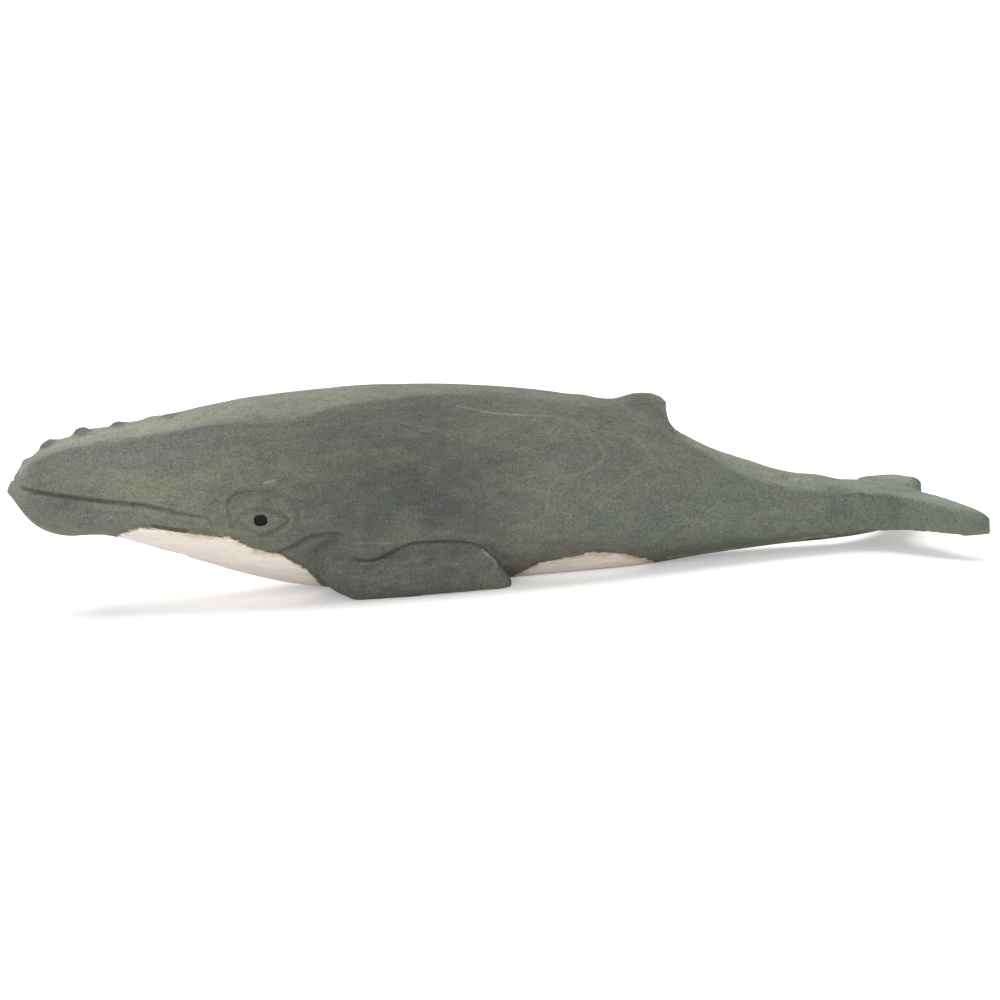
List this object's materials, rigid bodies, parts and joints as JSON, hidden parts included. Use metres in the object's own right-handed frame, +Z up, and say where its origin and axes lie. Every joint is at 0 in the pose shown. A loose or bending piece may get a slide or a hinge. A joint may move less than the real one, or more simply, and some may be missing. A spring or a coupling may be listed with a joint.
{
  "type": "whale figurine",
  "caption": "Hand-carved wooden humpback whale lying on its belly, stained grey-green over white, with let-in flippers, pinned flukes and pegged eyes.",
  "frame": {"origin": "on the surface the whale lies on, in the middle of its length and width", "axes": "+X from the snout to the flukes, +Z up, the whale's left side towards -Y"},
  "size_m": [0.22, 0.06, 0.0464],
  "materials": {
    "body_wood": "thin matt grey-green stain with the carved ridges worn pale, throat and belly brushed white",
    "flipper_wood": "thin matt grey-green stain, edges worn pale",
    "fluke_wood": "thin matt green-grey stain, upper faces worn pale",
    "eye_wood": "dark brown, smooth",
    "dowel_wood": "bare beech"
  },
  "bodies": {
    "root": {"body": "body_wood", "flipper_left": "flipper_wood", "flipper_right": "flipper_wood", "tail_flukes": "fluke_wood", "eye_left": "eye_wood", "eye_right": "eye_wood", "flipper_dowels_left": "dowel_wood", "flipper_dowels_right": "dowel_wood", "fluke_dowels": "dowel_wood"}
  },
  "joints": []
}
